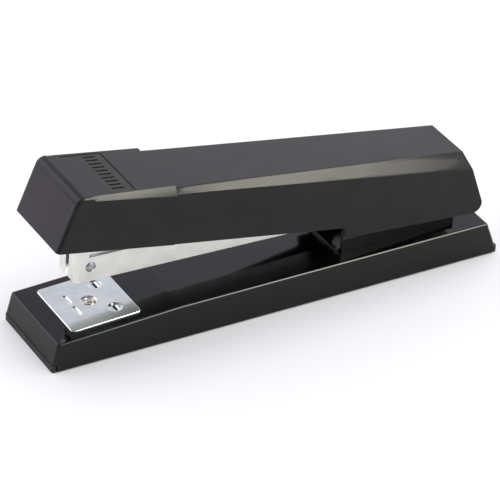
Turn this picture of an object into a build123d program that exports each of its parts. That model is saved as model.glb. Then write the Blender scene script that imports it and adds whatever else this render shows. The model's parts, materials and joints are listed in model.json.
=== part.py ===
from build123d import *
import math
import os

# Full-strip desktop stapler, 42 mm wide and 210 mm long. X runs from the nose to the hinge, Z is up, the
# stapler is symmetric about the XZ plane, and the origin is the middle of the base's underside.
# The magazine and the cover both swing on one pin. Their places are given as "along" (rearwards from the
# pin) and "up" (square to that), each in a frame tilted about the pin as the piece stands at rest. What
# belongs to the nose is placed from the middle of the anvil, which lies one "reach" in front of the pin.

cut_margin = 1.0

# base
base_length = 210.0
base_width = 42.0
base_side_draft = 0.6
front_lean = 2.65
rear_lean = 6.3
front_height = 12.45
deck_height = 15.05
deck_kink_distance = 57.3
base_corner_radius = 1.2
base_edge_radius = 1.0
shell_wall = 2.4
shell_floor_gap = 0.5
pad_thickness = 3.0
pad_groove = 0.35
pad_inset = 0.4
pad_end_length = 2.2
pad_clearance = 0.2
pad_corner_radius = 0.9
boss_radius = 3.6
screw_radius = 1.5
screw_head_radius = 2.8
screw_head_height = 1.6
screw_length = 9.0
screw_clearance = 0.1
screw_head_clearance = 0.2
screw_cross_length = 3.2
screw_cross_width = 0.7
screw_cross_depth = 0.8
screw_end_distance = 30.0
screw_wall_distance = 5.0

# anvil
anvil_length = 30.8
anvil_width = 31.6
anvil_thickness = 0.55
anvil_gap = 0.05
anvil_corner_radius = 1.8
anvil_end_distance = 26.55
groove_offset = 7.3
groove_length = 6.3
groove_inner = 0.9
groove_width = 1.8
groove_depth = 0.3
dimple_radius = 2.8
dimple_depth = 0.15
dimple_offset = 4.6
dimple_groove_length = 4.8
stem_radius = 2.2
stem_head_radius = 2.8
stem_head_height = 0.25
stem_hollow_radius = 1.1
stem_hollow_depth = 0.6
stem_shoulder_gap = 0.1
stem_neck_radius = 1.6
stem_neck_length = 3.4
turning_clearance = 0.05
button_radius = 5.5
button_height = 6.0
button_web = 1.6
button_wall = 1.6
button_edge_radius = 0.4
button_recess = 0.9
button_hole_clearance = 0.6
clip_radius = 2.9
clip_thickness = 0.6
clip_gap = 0.05
spring_wire = 0.5
spring_gap = 0.05
anvil_spring_clearance = 1.1
anvil_coils = 3

# hinge
pivot_end_distance = 21.85
pivot_rise = 18.95
pin_radius = 2.0
pin_clearance = 0.06
pin_head_radius = 3.2
pin_head_thickness = 0.9
sheet = 1.2
bracket_gap = 1.8
bracket_front_distance = 55.0
bracket_wall_distance = 52.0
bracket_rear_distance = 3.0
bracket_floor_inset = 1.0
bracket_curb = 3.35
bracket_front_rise = 9.5
bracket_heel_distance = 17.15
bracket_ear_radius = 5.0
bracket_shoulder_back = 2.0
bracket_shoulder_drop = 0.5
bracket_rivet_front = 12.0
bracket_rivet_rear = 8.0
bracket_rivet_inset = 5.1
rivet_radius = 1.6
rivet_head_radius = 2.9
rivet_head_height = 0.9
rivet_edge_radius = 0.6
leaf_width = 9.0
leaf_thickness = 0.5
leaf_gap = 0.15
leaf_rear_distance = 21.15
leaf_foot_length = 12.0
leaf_top_distance = 45.15

# magazine
magazine_tilt = 1.5
crown_width = 12.7
crown_clearance = 0.15
magazine_wall = 0.9
magazine_floor = -9.1
magazine_height = 10.9
nose_ahead = 10.4
nose_length = 5.5
nose_height = 18.1
nose_slot = 2.5
nose_corner_radius = 2.0
magazine_rear = 5.6
magazine_ear_radius = 5.6
staple_leg = 6.35
staple_wire = 0.5
staple_slot = 1.8
stud_radius = 2.2
stud_neck_radius = 1.6
stud_edge_radius = 0.5
stud_height = 0.8
stud_ahead = 4.0
stud_up = -2.64
rail_sheet = 0.8
rail_gap = 1.1
rail_rear = -20.0
rail_corner_radius = 0.8
rail_slot_width = 1.9
rail_slot_lead = 2.0
rail_slot_spare = 10.0
rail_web_along = 2.0
rail_rivet_ahead = 3.4
rail_rivet_rear = -24.0
follower_length = 16.0
follower_sheet = 0.8
follower_clearance = 0.2
follower_start = 0.7
follower_rear_room = 49.3
follower_wire = 0.4
follower_coils = 36
tongue_along = 6.0
seat_length = 2.0
seat_half = 2.2
seat_gap = 0.3
rod_radius = 0.7
rod_clearance = 0.08
rod_coil_clearance = 0.65
rod_up = -5.6
stop_length = 4.0
retainer_start = 1.4
retainer_gap = 0.2
retainer_length = 40.0
retainer_rise = 8.6
retainer_bend_along = 18.0
retainer_bend_rise = 6.45
retainer_sheet = 0.8
return_spring_radius = 3.2
return_spring_along = -12.0
return_spring_gap = 0.2
return_coils = 6

# cover
cover_tilt = 8.15
closing_angle = 4.3
cover_wall = 2.0
cover_top = 14.86
cover_low = -40.0
cover_front_behind = 25.0
cover_side_gap = 1.15
cover_side_taper = 0.7
cover_shoulder_width_front = 2.75
cover_shoulder_width_rear = 5.15
cover_shoulder_front = 13.3
cover_shoulder_rear = 9.0
cover_step_along = -52.6
cover_step_up = -17.0
cover_notch_gap = 0.8
cover_notch_top = 5.0
cover_notch_radius = 3.0
cover_rear_top_along = 2.06
cover_rear_low_along = 17.6
cover_rear_low_up = -12.3
rear_corner_radius = 4.0
cap_wall = 1.8
cap_top = 16.0
cap_step = 0.35
cap_shoulder_width_front = 1.2
cap_shoulder_width_rear = 2.6
cap_low_front_ahead = 25.4
cap_low_front_up = -7.5
cap_top_front_ahead = 19.9
cap_top_rear_behind = 23.5
cap_low_rear_behind = 27.2
cap_low_rear_up = -9.5
cap_front_margin = 4.0
cap_rear_margin = 2.0
cap_shoulder_front = 14.84
cap_shoulder_rear = 12.85
cap_fold_radius = 4.0
cap_corner_radius = 1.5
cap_gap = 0.2
joint_gap = 0.25
tongue_wall = 1.5
tongue_length = 12.0
tongue_root = 3.0
tongue_rise = 1.0
cover_edge_radius = 0.8
cover_step_top = -12.1
line_width = 0.6
line_depth = 0.35
line_front_ahead = 12.3
line_rear_behind = 6.2
line_inset = 0.8
rib_count = 10
rib_pitch = 2.7
rib_length = 5.4
rib_width = 0.9
rib_ahead = 0.3
liner_gap = 1.2
liner_sheet = 1.0
liner_top = 11.0
liner_front_ahead = 4.4
liner_rear = 1.0
liner_low_front = 4.0
liner_low_middle = 0.0
liner_low_rear = -18.0
liner_ear_radius = 6.0
liner_ear_top_along = 5.4
liner_ear_top_up = 2.0
liner_screw_head = 1.3
blade_thickness = 0.7
blade_clearance = 0.3
blade_side_clearance = 0.1
blade_rivet_behind = 0.6
blade_rivet_spacing = 7.0
blade_rivet_radius = 1.1
blade_rivet_head_radius = 1.98
blade_rivet_head_height = 0.5
blade_tab_length = 14.0
post_radius = 3.0
post_bore = 1.1
post_height = 2.2
post_roof = 0.4
post_screw_gap = 0.2
post_front_behind = 21.6
post_rear = -40.0

# places along the base
front_edge_x = -base_length / 2 + front_lean
base_rear_top = base_length / 2 - rear_lean
deck_kink_x = -base_length / 2 + deck_kink_distance
anvil_x = -base_length / 2 + anvil_end_distance
pivot_x = base_length / 2 - pivot_end_distance
pivot_height = deck_height + pivot_rise
reach = pivot_x - anvil_x
bracket_front_x = pivot_x - bracket_front_distance
bracket_wall_x = pivot_x - bracket_wall_distance
bracket_heel_x = pivot_x - bracket_heel_distance
bracket_rear_x = pivot_x + bracket_rear_distance
leaf_rear_x = pivot_x - leaf_rear_distance
leaf_top_x = pivot_x - leaf_top_distance
nose_reach = reach + nose_ahead

# half widths, each from the piece inside it: magazine, liner, bracket, pin, cover, cap
inner_half = crown_width / 2 + crown_clearance
outer_half = inner_half + magazine_wall
liner_half_width = outer_half + liner_gap + liner_sheet
bracket_half = liner_half_width + bracket_gap + sheet
pin_half = bracket_half + pin_head_thickness
cover_side_rear = pin_half + cover_side_gap + cover_wall
cover_side_front = cover_side_rear + cover_side_taper
cover_flat_rear = cover_side_rear - cover_shoulder_width_rear
cover_flat_front = cover_side_front - cover_shoulder_width_front
cap_side = cover_side_front + cap_step
cap_flat_front = cap_side - cap_shoulder_width_front
cap_flat_rear = cap_side - cap_shoulder_width_rear
line_side = cap_flat_rear - line_inset

# corners of the cover and cap, seen from the side
cover_front = cover_front_behind - reach
cap_bottom_front = (-reach - cap_low_front_ahead, cap_low_front_up)
cap_top_front = (-reach - cap_top_front_ahead, cap_top)
cap_top_rear = (cap_top_rear_behind - reach, cap_top)
cap_bottom_rear = (cap_low_rear_behind - reach, cap_low_rear_up)
rear_top = (cover_rear_top_along, cover_top)
rear_low = (cover_rear_low_along, cover_rear_low_up)
line_front = -reach - line_front_ahead
line_rear = line_rear_behind - reach

# rows of rivets, screws and posts
bracket_rivet_places = [
    (x, y)
    for x in (bracket_front_x + bracket_rivet_front, bracket_rear_x - bracket_rivet_rear)
    for y in (bracket_rivet_inset - bracket_half, bracket_half - bracket_rivet_inset)
]
rail_rivet_places = [(-reach - rail_rivet_ahead, 0), (rail_rivet_rear, 0)]
blade_rivet_places = [
    (blade_rivet_behind - reach, -blade_rivet_spacing / 2),
    (blade_rivet_behind - reach, blade_rivet_spacing / 2),
]
post_places = [(post_front_behind - reach, 0), (post_rear, 0)]

os.makedirs("parts", exist_ok=True)


def side_plane(origin, tilt):
    """Mid-width plane seen from the -Y side: x is along, y is up."""
    angle = math.radians(tilt)
    return Plane(origin=origin, x_dir=(math.cos(angle), 0, -math.sin(angle)), z_dir=(0, -1, 0))


def top_plane(origin, tilt):
    """Plane seen from above: x is along, y is the width."""
    angle = math.radians(tilt)
    return Plane(
        origin=origin,
        x_dir=(math.cos(angle), 0, -math.sin(angle)),
        z_dir=(math.sin(angle), 0, math.cos(angle)),
    )


def cross_plane(origin, tilt):
    """Plane across the length: x is the width, y is up, and it faces rearwards."""
    angle = math.radians(tilt)
    return Plane(origin=origin, x_dir=(0, 1, 0), z_dir=(math.cos(angle), 0, -math.sin(angle)))


def between(start, end, share):
    """The value that lies a share of the way from start to end."""
    return start + (end - start) * share


def finish(builder, name):
    """Labels the finished piece and writes its file."""
    builder.part.label = name
    export_step(builder.part, "parts/" + name + ".step")


# frames
pivot = (pivot_x, 0, pivot_height)
magazine_side = side_plane(pivot, magazine_tilt)
magazine_top = top_plane(pivot, magazine_tilt)
magazine_cross = cross_plane(pivot, magazine_tilt)
cover_side = side_plane(pivot, cover_tilt)
cover_above = top_plane(pivot, cover_tilt)
cover_cross = cross_plane(pivot, cover_tilt)
blade_side = side_plane(pivot, magazine_tilt + closing_angle)

# the front part of the deck rises to the kink, and the anvil stands square to it
deck_slope = math.degrees(math.atan((deck_height - front_height) / (deck_kink_x - front_edge_x)))
anvil_deck_z = front_height + (anvil_x - front_edge_x) * math.tan(math.radians(deck_slope))
anvil_above = top_plane((anvil_x, 0, anvil_deck_z), -deck_slope)


# ---- base shell: drafted block, hollow below, with a wall all round and four screw bosses
cavity_half_width = base_width / 2 - base_side_draft - shell_wall
boss_grid = GridLocations(
    base_length - 2 * screw_end_distance,
    2 * (cavity_half_width - screw_wall_distance),
    2,
    2,
)
deck_under = deck_height - shell_wall
with BuildPart() as base_shell:
    with BuildSketch(Plane.XZ):
        Polygon(
            (-base_length / 2, 0),
            (front_edge_x, front_height),
            (deck_kink_x, deck_height),
            (base_rear_top, deck_height),
            (base_length / 2, 0),
            align=None,
        )
    extrude(amount=base_width / 2, both=True)
    with BuildSketch(Plane.YZ):
        Polygon(
            (-base_width / 2, 0),
            (base_width / 2, 0),
            (base_width / 2 - 2 * base_side_draft, 2 * deck_height),
            (-base_width / 2 + 2 * base_side_draft, 2 * deck_height),
            align=None,
        )
    extrude(amount=base_length, both=True, mode=Mode.INTERSECT)
    corner_edges = base_shell.edges().filter_by(lambda e: abs(e.tangent_at(0.5).Z) > 0.5)
    fillet(corner_edges, base_corner_radius)
    deck_faces = base_shell.faces().filter_by(lambda f: f.normal_at().Z > 0.9)
    rim = [e for f in deck_faces for e in f.edges() if abs(abs(e.tangent_at(0.5).Y) - 1) > 0.01]
    ends = [
        e
        for f in deck_faces
        for e in f.edges()
        if abs(abs(e.tangent_at(0.5).Y) - 1) <= 0.01 and abs(e.center().X - deck_kink_x) > 1
    ]
    fillet(rim + ends, base_edge_radius)
    with BuildSketch(Plane.XZ):
        Polygon(
            (front_edge_x + shell_wall, -cut_margin),
            (front_edge_x + shell_wall, front_height - shell_wall),
            (deck_kink_x, deck_under),
            (base_rear_top - shell_wall, deck_under),
            (base_rear_top - shell_wall, -cut_margin),
            align=None,
        )
    extrude(amount=cavity_half_width, both=True, mode=Mode.SUBTRACT)
    # the ends stand on the pad, and the sides come down past it
    with BuildSketch(Plane.XY):
        with Locations((-base_length / 2, 0), (base_length / 2, 0)):
            Rectangle(2 * pad_end_length, 2 * base_width)
        Rectangle(base_length, 2 * cavity_half_width)
    extrude(amount=pad_thickness + pad_groove, mode=Mode.SUBTRACT)
    with BuildSketch(Plane.XY):
        Rectangle(2 * base_length, 2 * base_width)
    extrude(amount=shell_floor_gap, mode=Mode.SUBTRACT)
    with BuildSketch(Plane.XY.offset(pad_thickness)):
        with boss_grid:
            Circle(boss_radius)
    extrude(until=Until.NEXT)
    with BuildSketch(Plane.XY.offset(pad_thickness)):
        with boss_grid:
            Circle(screw_radius)
    extrude(amount=screw_length - screw_head_height, mode=Mode.SUBTRACT)
    with BuildSketch(anvil_above.offset(cut_margin)):
        Circle(stem_radius + turning_clearance)
    extrude(amount=-2 * shell_wall - cut_margin, mode=Mode.SUBTRACT)
    with BuildSketch(Plane.XY.offset(deck_height)):
        with Locations(*bracket_rivet_places):
            Circle(rivet_radius)
    extrude(amount=-2 * shell_wall, mode=Mode.SUBTRACT)
finish(base_shell, "base_shell")

# ---- base pad: soft plate inside the side walls, full width under the two ends
pad_length = base_length - 2 * pad_inset
pad_width = base_width - 2 * pad_inset
pad_tip = pad_end_length - 2 * pad_inset
with BuildPart() as base_pad:
    with BuildSketch(Plane.XY):
        Rectangle(pad_length, 2 * (cavity_half_width - pad_clearance))
        with Locations((-pad_length / 2, 0)):
            Rectangle(pad_tip, pad_width, align=(Align.MIN, Align.CENTER))
        with Locations((pad_length / 2, 0)):
            Rectangle(pad_tip, pad_width, align=(Align.MAX, Align.CENTER))
        outer_corners = vertices().filter_by(lambda v: abs(v.Y) > base_width / 2 - 2 * pad_inset)
        fillet(outer_corners.group_by(Axis.X)[0] + outer_corners.group_by(Axis.X)[-1], pad_corner_radius)
    extrude(amount=pad_thickness)
    with BuildSketch(Plane.XY):
        with boss_grid:
            Circle(screw_radius + screw_clearance)
        with Locations((anvil_x + anvil_deck_z * math.sin(math.radians(deck_slope)), 0)):
            Circle(button_radius + button_hole_clearance)
    extrude(amount=pad_thickness, mode=Mode.SUBTRACT)
    with BuildSketch(Plane.XY):
        with boss_grid:
            Circle(screw_head_radius + screw_head_clearance)
    extrude(amount=screw_head_height + screw_head_clearance, mode=Mode.SUBTRACT)
finish(base_pad, "base_pad")

# ---- base screws: four, up through the pad into the bosses
with BuildPart() as base_screws:
    with BuildSketch(Plane.XY.offset(screw_head_clearance)):
        with boss_grid:
            Circle(screw_head_radius)
    extrude(amount=screw_head_height)
    with BuildSketch(Plane.XY.offset(screw_head_clearance + screw_head_height)):
        with boss_grid:
            Circle(screw_radius)
    extrude(amount=screw_length - screw_head_height)
    with BuildSketch(Plane.XY.offset(screw_head_clearance)):
        with boss_grid:
            Rectangle(screw_cross_length, screw_cross_width)
            Rectangle(screw_cross_width, screw_cross_length)
    extrude(amount=screw_cross_depth, mode=Mode.SUBTRACT)
finish(base_screws, "base_screws")

# ---- anvil plate: two grooves that bend the legs inwards, two that bend them outwards
anvil_low = anvil_gap
anvil_face = anvil_gap + anvil_thickness
groove_middle = groove_inner + groove_length / 2
dimple_middle = groove_middle + dimple_offset
with BuildPart() as anvil_plate:
    with BuildSketch(anvil_above.offset(anvil_low)):
        RectangleRounded(anvil_length, anvil_width, anvil_corner_radius)
        Circle(stem_radius, mode=Mode.SUBTRACT)
    extrude(amount=anvil_thickness)
    with BuildSketch(anvil_above.offset(anvil_face)):
        with Locations((groove_offset, dimple_middle), (groove_offset, -dimple_middle)):
            Circle(dimple_radius)
    extrude(amount=-dimple_depth, mode=Mode.SUBTRACT)
    with BuildSketch(anvil_above.offset(anvil_face)):
        with Locations((-groove_offset, groove_middle), (-groove_offset, -groove_middle)):
            SlotOverall(groove_length, groove_width, rotation=90)
        with Locations((groove_offset, dimple_middle), (groove_offset, -dimple_middle)):
            SlotOverall(dimple_groove_length, groove_width, rotation=90)
    extrude(amount=-groove_depth, mode=Mode.SUBTRACT)
finish(anvil_plate, "anvil_plate")

# ---- anvil stem: riveted into the plate, turning in the deck and in the button's web
button_top = -(anvil_deck_z - button_recess - button_height)
with BuildPart() as anvil_stem:
    with BuildSketch(anvil_above.offset(anvil_face)):
        Circle(stem_head_radius)
    extrude(amount=stem_head_height)
    with BuildSketch(anvil_above.offset(anvil_face)):
        Circle(stem_radius)
    extrude(amount=button_top - anvil_face + stem_shoulder_gap)
    with BuildSketch(anvil_above.offset(button_top + stem_shoulder_gap)):
        Circle(stem_neck_radius)
    extrude(amount=-stem_neck_length)
    with BuildSketch(anvil_above.offset(anvil_face + stem_head_height)):
        Circle(stem_hollow_radius)
    extrude(amount=-stem_hollow_depth, mode=Mode.SUBTRACT)
finish(anvil_stem, "anvil_stem")

# ---- anvil clip: holds the button on the stem's neck
clip_top = button_top - button_web - clip_gap
with BuildPart() as anvil_clip:
    with BuildSketch(anvil_above.offset(clip_top)):
        Circle(clip_radius)
        Circle(stem_neck_radius, mode=Mode.SUBTRACT)
    extrude(amount=-clip_thickness)
finish(anvil_clip, "anvil_clip")

# ---- anvil button: a cup under the deck, pushed up by a finger
with BuildPart() as anvil_button:
    with BuildSketch(anvil_above.offset(button_top)):
        Circle(button_radius)
        Circle(stem_neck_radius + turning_clearance, mode=Mode.SUBTRACT)
    extrude(amount=-button_height)
    with BuildSketch(anvil_above.offset(button_top - button_web)):
        Circle(button_radius - button_wall)
    extrude(amount=-button_height + button_web, mode=Mode.SUBTRACT)
    fillet(anvil_button.edges().filter_by(GeomType.CIRCLE).sort_by(Axis.Z)[0], button_edge_radius)
finish(anvil_button, "anvil_button")

# ---- anvil spring: pushes the button down, away from the deck
anvil_spring_height = -shell_wall - button_top - spring_wire - 2 * spring_gap
anvil_spring_radius = stem_radius + anvil_spring_clearance
with BuildPart() as anvil_spring:
    with BuildLine(anvil_above.offset(button_top + spring_wire / 2 + spring_gap)) as anvil_coil:
        Helix(
            pitch=anvil_spring_height / anvil_coils,
            height=anvil_spring_height,
            radius=anvil_spring_radius,
            direction=anvil_above.z_dir,
        )
    with BuildSketch(Plane(origin=anvil_coil.line @ 0, z_dir=anvil_coil.line % 0)):
        Circle(spring_wire / 2)
    sweep(path=anvil_coil.line, is_frenet=True)
finish(anvil_spring, "anvil_spring")

# ---- hinge bracket: a folded sheet on the deck, its ears reaching back to the pin
ear_reach = math.hypot(pivot_x - bracket_heel_x, pivot_height - deck_height - bracket_curb)
heel_angle = math.atan2(pivot_height - deck_height - bracket_curb, pivot_x - bracket_heel_x)
tangent_angle = heel_angle - math.asin(bracket_ear_radius / ear_reach)
tangent_length = math.sqrt(ear_reach**2 - bracket_ear_radius**2)
ear_low_x = bracket_heel_x + tangent_length * math.cos(tangent_angle)
ear_low_z = deck_height + bracket_curb + tangent_length * math.sin(tangent_angle)
bracket_floor_length = bracket_rear_x - bracket_front_x
bracket_floor_width = 2 * (bracket_half - bracket_floor_inset)
with BuildPart() as hinge_bracket:
    with BuildSketch(Plane.XZ):
        Polygon(
            (bracket_wall_x, deck_height),
            (bracket_wall_x, deck_height + bracket_front_rise),
            (pivot_x - bracket_shoulder_back, pivot_height + bracket_ear_radius - bracket_shoulder_drop),
            (pivot_x, pivot_height),
            (ear_low_x, ear_low_z),
            (bracket_heel_x, deck_height + bracket_curb),
            (bracket_rear_x, deck_height + bracket_curb),
            (bracket_rear_x, deck_height),
            align=None,
        )
        with Locations((pivot_x, pivot_height)):
            Circle(bracket_ear_radius)
            Circle(pin_radius, mode=Mode.SUBTRACT)
    extrude(amount=bracket_half, both=True)
    with BuildSketch(Plane.XZ):
        with Locations((0, deck_height + sheet)):
            Rectangle(2 * base_length, base_length, align=(Align.CENTER, Align.MIN))
    extrude(amount=bracket_half - sheet, both=True, mode=Mode.SUBTRACT)
    with BuildSketch(Plane.XY.offset(deck_height)):
        with Locations((bracket_front_x, 0)):
            Rectangle(bracket_floor_length, bracket_floor_width, align=(Align.MIN, Align.CENTER))
    extrude(amount=sheet)
    with BuildSketch(Plane.XY.offset(deck_height)):
        with Locations(*bracket_rivet_places):
            Circle(rivet_radius)
    extrude(amount=sheet, mode=Mode.SUBTRACT)
finish(hinge_bracket, "hinge_bracket")

# ---- bracket rivets: four, through the bracket's floor and the deck
with BuildPart() as bracket_rivets:
    with BuildSketch(Plane.XY.offset(deck_height + sheet)):
        with Locations(*bracket_rivet_places):
            Circle(rivet_head_radius)
    extrude(amount=rivet_head_height)
    fillet(bracket_rivets.edges().group_by(Axis.Z)[-1], rivet_edge_radius)
    with BuildSketch(Plane.XY.offset(deck_height + sheet)):
        with Locations(*bracket_rivet_places):
            Circle(rivet_radius)
    extrude(amount=-sheet - shell_wall)
finish(bracket_rivets, "bracket_rivets")

# ---- hinge pin, with a clip over each end outside the bracket
with BuildPart() as hinge_pin:
    with BuildSketch(magazine_side):
        Circle(pin_radius)
    extrude(amount=pin_half, both=True)
finish(hinge_pin, "hinge_pin")

with BuildPart() as pin_clips:
    with BuildSketch(magazine_side):
        Circle(pin_head_radius)
        Circle(pin_radius, mode=Mode.SUBTRACT)
    extrude(amount=pin_half, both=True)
    with BuildSketch(magazine_side):
        Circle(2 * pin_head_radius)
    extrude(amount=bracket_half, both=True, mode=Mode.SUBTRACT)
finish(pin_clips, "pin_clips")

# ---- lift spring: a leaf from the bracket's floor up to the magazine's underside
leaf_foot_z = deck_height + sheet
leaf_rise = leaf_top_distance * math.tan(math.radians(magazine_tilt))
magazine_under_z = pivot_height + leaf_rise + magazine_floor
leaf_top_z = magazine_under_z - leaf_thickness - leaf_gap
with BuildPart() as lift_spring:
    with BuildSketch(Plane.XZ):
        with BuildLine():
            foot = Line((leaf_rear_x, leaf_foot_z), (leaf_rear_x - leaf_foot_length, leaf_foot_z))
            rise = TangentArc(foot @ 1, (leaf_top_x, leaf_top_z), tangent=(-1, 0))
            Line(rise @ 1, rise @ 1 + (0, leaf_thickness))
            back = TangentArc(
                (leaf_rear_x - leaf_foot_length, leaf_foot_z + leaf_thickness),
                (leaf_top_x, leaf_top_z + leaf_thickness),
                tangent=(-1, 0),
            )
            Line(back @ 0, (leaf_rear_x, leaf_foot_z + leaf_thickness))
            Line((leaf_rear_x, leaf_foot_z + leaf_thickness), foot @ 0)
        make_face()
    extrude(amount=leaf_width / 2, both=True)
finish(lift_spring, "lift_spring")

# ---- magazine channel: a folded sheet with the nose wrapped round in two halves
floor_up = magazine_floor + magazine_wall
channel_front = -nose_reach
wrap_inner = channel_front + magazine_wall
track_front = wrap_inner + staple_slot
low_corner = (Align.MIN, Align.MIN)
from_front = (Align.MIN, Align.CENTER)
with BuildPart() as magazine_channel:
    with BuildSketch(magazine_side):
        with Locations((channel_front, magazine_floor)):
            Rectangle(nose_reach + magazine_rear, magazine_height, align=low_corner)
            Rectangle(nose_length, nose_height, align=low_corner)
        Circle(magazine_ear_radius)
    extrude(amount=outer_half, both=True)
    upright = Axis(pivot, magazine_top.z_dir)
    nose_corners = magazine_channel.edges().filter_by(upright).group_by(Axis.X)[0]
    fillet(nose_corners, nose_corner_radius)
    with BuildSketch(magazine_top.offset(floor_up)):
        with Locations((wrap_inner, 0)):
            Rectangle(2 * nose_reach, 2 * inner_half, align=from_front)
        fillet(vertices().group_by(Axis.X)[0], nose_corner_radius - magazine_wall)
    extrude(amount=2 * nose_height, mode=Mode.SUBTRACT)
    with BuildSketch(magazine_top.offset(floor_up)):
        with Locations((wrap_inner, 0)):
            Rectangle(staple_slot, 2 * inner_half, align=from_front)
        with Locations((channel_front - cut_margin, 0)):
            Rectangle(magazine_wall + 2 * cut_margin, nose_slot, align=from_front)
    extrude(amount=-2 * magazine_wall, mode=Mode.SUBTRACT)
    with BuildSketch(magazine_top.offset(floor_up)):
        with Locations((channel_front - cut_margin, 0)):
            Rectangle(magazine_wall + 2 * cut_margin, nose_slot, align=from_front)
    extrude(amount=2 * nose_height, mode=Mode.SUBTRACT)
    with BuildSketch(magazine_side):
        Circle(pin_radius + pin_clearance)
        with Locations((-reach - stud_ahead, stud_up)):
            Circle(stud_neck_radius)
    extrude(amount=2 * outer_half, both=True, mode=Mode.SUBTRACT)
    with BuildSketch(magazine_top.offset(floor_up)):
        with Locations(*rail_rivet_places):
            Circle(rivet_radius)
    extrude(amount=-2 * magazine_wall, mode=Mode.SUBTRACT)
finish(magazine_channel, "magazine_channel")

# ---- nose studs: one through each wall of the nose, flush inside
with BuildPart() as nose_studs:
    with BuildSketch(magazine_side.offset(inner_half)):
        with Locations((-reach - stud_ahead, stud_up)):
            Circle(stud_neck_radius)
    extrude(amount=magazine_wall)
    with BuildSketch(magazine_side.offset(outer_half)):
        with Locations((-reach - stud_ahead, stud_up)):
            Circle(stud_radius)
    extrude(amount=stud_height)
    fillet(nose_studs.edges().group_by(Axis.Y)[0], stud_edge_radius)
    mirror(about=Plane.XZ)
finish(nose_studs, "nose_studs")

# ---- staple rail: an upturned channel that the staples straddle, slotted for the follower's tongue
rail_half = inner_half - rail_gap
rail_top = floor_up + staple_leg - staple_wire
rail_length = rail_rear - track_front
web_front = track_front + rail_web_along
follower_front = track_front + follower_start
follower_travel = rail_length - follower_rear_room
tongue_front = follower_front + tongue_along
tongue_width = rail_slot_width - 2 * follower_clearance
rail_under = rail_top - rail_sheet
with BuildPart() as staple_rail:
    with BuildSketch(magazine_cross.offset(track_front)):
        with Locations((0, floor_up)):
            Rectangle(2 * rail_half, rail_top - floor_up, align=(Align.CENTER, Align.MIN))
        fillet(vertices().group_by(Axis.Z)[-1], rail_corner_radius)
        with Locations((0, floor_up + rail_sheet)):
            Rectangle(
                2 * (rail_half - rail_sheet),
                rail_under - floor_up - rail_sheet,
                align=(Align.CENTER, Align.MIN),
                mode=Mode.SUBTRACT,
            )
    extrude(amount=rail_length)
    with BuildSketch(magazine_top.offset(rail_top)):
        with Locations((tongue_front - rail_slot_lead, 0)):
            Rectangle(follower_travel + rail_slot_spare, rail_slot_width, align=from_front)
    extrude(amount=-2 * rail_sheet, mode=Mode.SUBTRACT)
    with BuildSketch(magazine_cross.offset(web_front)):
        with Locations((0, floor_up)):
            Rectangle(
                2 * rail_half - rail_sheet,
                rail_top - floor_up - rail_sheet / 2,
                align=(Align.CENTER, Align.MIN),
            )
        with Locations((0, rod_up)):
            Circle(rod_radius, mode=Mode.SUBTRACT)
    extrude(amount=rail_sheet)
finish(staple_rail, "staple_rail")

# ---- rail rivets: join the rail's floor to the channel's floor
with BuildPart() as rail_rivets:
    with BuildSketch(magazine_top.offset(magazine_floor)):
        with Locations(*rail_rivet_places):
            Circle(rivet_radius)
    extrude(amount=magazine_wall)
finish(rail_rivets, "rail_rivets")

# ---- rear stop: closes the rail and holds the guide rod and the spring's fixed end
stop_rear = rail_rear - cut_margin
stop_front = stop_rear - stop_length
with BuildPart() as rear_stop:
    with BuildSketch(magazine_cross.offset(stop_front)):
        with Locations((0, floor_up + rail_sheet)):
            Rectangle(
                2 * (rail_half - rail_sheet),
                rail_under - floor_up - rail_sheet,
                align=(Align.CENTER, Align.MIN),
            )
        with Locations((0, rod_up)):
            Circle(rod_radius, mode=Mode.SUBTRACT)
    extrude(amount=stop_length)
finish(rear_stop, "rear_stop")

# ---- guide rod: from the web in the rail's front to the rear stop
with BuildPart() as guide_rod:
    with BuildSketch(magazine_cross.offset(web_front)):
        with Locations((0, rod_up)):
            Circle(rod_radius)
    extrude(amount=stop_rear - web_front)
finish(guide_rod, "guide_rod")

# ---- follower: straddles the rail, and its tongue reaches through the slot to the spring
follower_half = inner_half - follower_clearance
follower_under = rail_top + follower_clearance
follower_top = follower_under + follower_sheet
seat_low = floor_up + rail_sheet + seat_gap
with BuildPart() as follower:
    with BuildSketch(magazine_cross.offset(follower_front)):
        with Locations((0, floor_up + follower_clearance)):
            Rectangle(
                2 * follower_half,
                follower_top - floor_up - follower_clearance,
                align=(Align.CENTER, Align.MIN),
            )
        with Locations((0, floor_up)):
            Rectangle(
                2 * (rail_half + follower_clearance),
                follower_under - floor_up,
                align=(Align.CENTER, Align.MIN),
                mode=Mode.SUBTRACT,
            )
    extrude(amount=follower_length)
    with BuildSketch(magazine_cross.offset(tongue_front)):
        with Locations((0, seat_low)):
            Rectangle(
                tongue_width,
                follower_under + follower_sheet / 2 - seat_low,
                align=(Align.CENTER, Align.MIN),
            )
    extrude(amount=seat_length)
    with BuildSketch(magazine_cross.offset(tongue_front)):
        with Locations((0, seat_low)):
            Rectangle(2 * seat_half, rail_under - seat_gap - seat_low, align=(Align.CENTER, Align.MIN))
    extrude(amount=seat_length)
    with BuildSketch(magazine_cross.offset(tongue_front - cut_margin)):
        with Locations((0, rod_up)):
            Circle(rod_radius + rod_clearance)
    extrude(amount=seat_length + 2 * cut_margin, mode=Mode.SUBTRACT)
finish(follower, "follower")

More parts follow.
